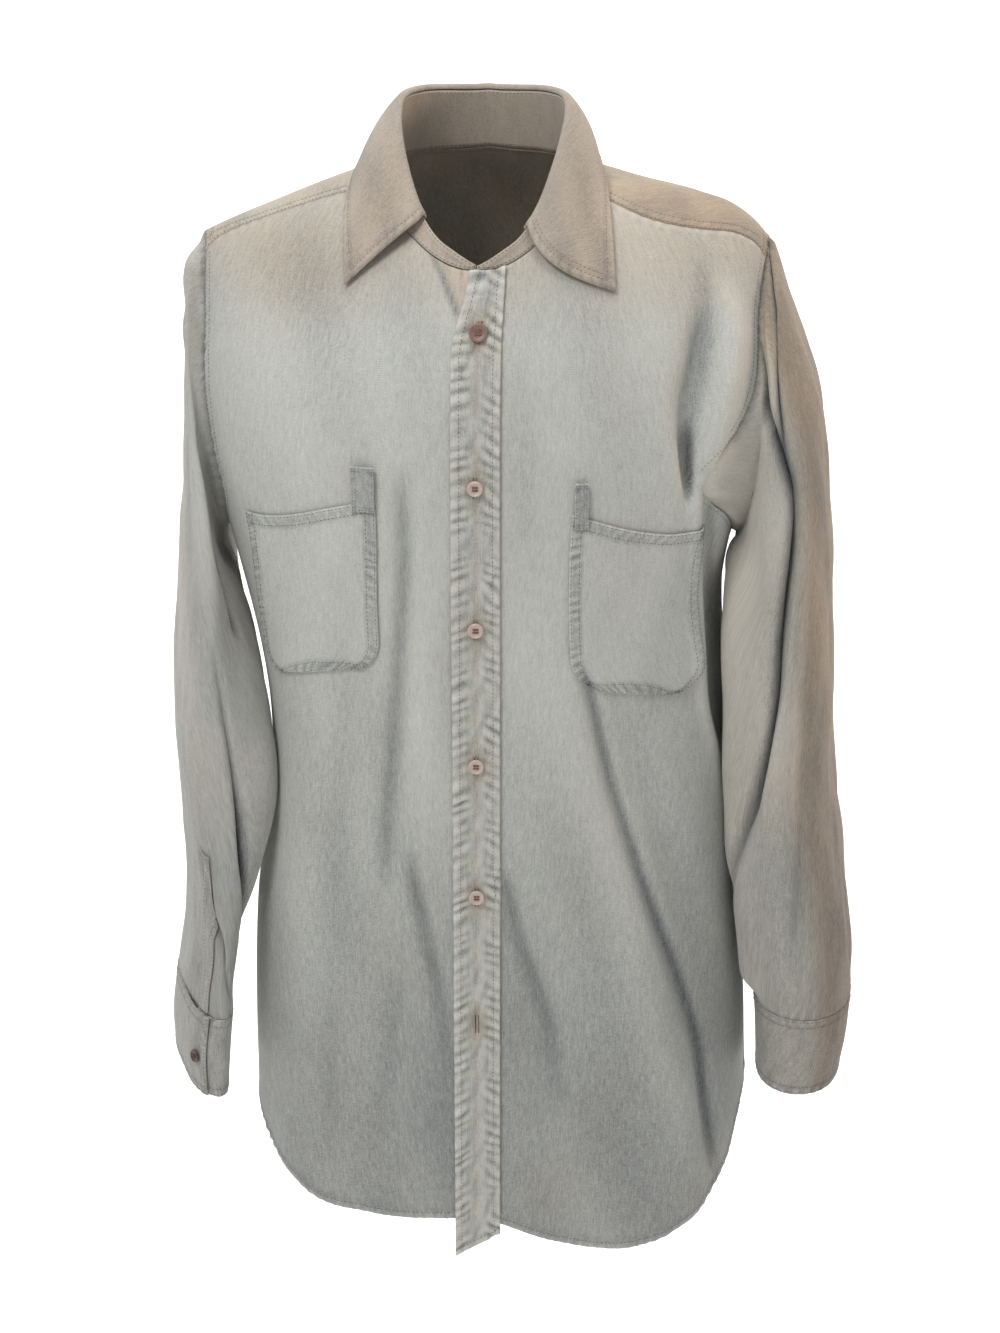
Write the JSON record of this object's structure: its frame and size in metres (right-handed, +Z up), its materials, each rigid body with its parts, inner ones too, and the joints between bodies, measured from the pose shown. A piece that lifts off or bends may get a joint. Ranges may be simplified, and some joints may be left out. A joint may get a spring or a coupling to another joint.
{
  "type": "long-sleeved denim shirt",
  "caption": "Long-sleeved button-front denim shirt with a turned-down collar, chest pockets and a curved hem, holding the form it has when worn; hollow, with nobody in it",
  "frame": {"origin": "middle of the neck opening, level with the tops of the shoulders, where the wearer carries the shirt", "axes": "+Z up, the shirt's front faces -Y, the wearer's left is at +X"},
  "size_m": [0.5474, 0.2779, 0.9006],
  "materials": {
    "front_right": "washed denim",
    "front_left": "washed denim",
    "back": "washed denim",
    "yoke": "washed denim",
    "sleeve_right": "washed denim",
    "sleeve_left": "washed denim",
    "pocket_right": "washed denim",
    "pocket_left": "washed denim",
    "front_placket": "washed denim, worn paler at the edges",
    "collar_stand": "washed denim, worn paler at the edges",
    "collar_leaf": "washed denim, worn paler at the edges",
    "cuff_right": "washed denim, worn paler at the edges",
    "cuff_left": "washed denim, worn paler at the edges",
    "sleeve_placket_right": "washed denim, worn paler at the edges",
    "sleeve_placket_left": "washed denim, worn paler at the edges",
    "pocket_strip_right": "washed denim, less faded",
    "pocket_strip_left": "washed denim, less faded",
    "button_1": "dark brown, dished",
    "button_2": "pinkish cream, dished",
    "button_3": "pinkish cream, dished",
    "button_4": "pinkish cream, dished",
    "button_5": "pinkish cream, dished",
    "cuff_button_right": "dark brown, dished",
    "cuff_button_left": "dark brown, dished"
  },
  "bodies": {
    "root": {"front_right": "front_right", "front_left": "front_left", "back": "back", "yoke": "yoke", "sleeve_right": "sleeve_right", "sleeve_left": "sleeve_left", "pocket_right": "pocket_right", "pocket_left": "pocket_left", "front_placket": "front_placket", "collar_stand": "collar_stand", "collar_leaf": "collar_leaf", "cuff_right": "cuff_right", "cuff_left": "cuff_left", "sleeve_placket_right": "sleeve_placket_right", "sleeve_placket_left": "sleeve_placket_left", "pocket_strip_right": "pocket_strip_right", "pocket_strip_left": "pocket_strip_left", "button_1": "button_1", "button_2": "button_2", "button_3": "button_3", "button_4": "button_4", "button_5": "button_5", "cuff_button_right": "cuff_button_right", "cuff_button_left": "cuff_button_left"}
  },
  "joints": []
}
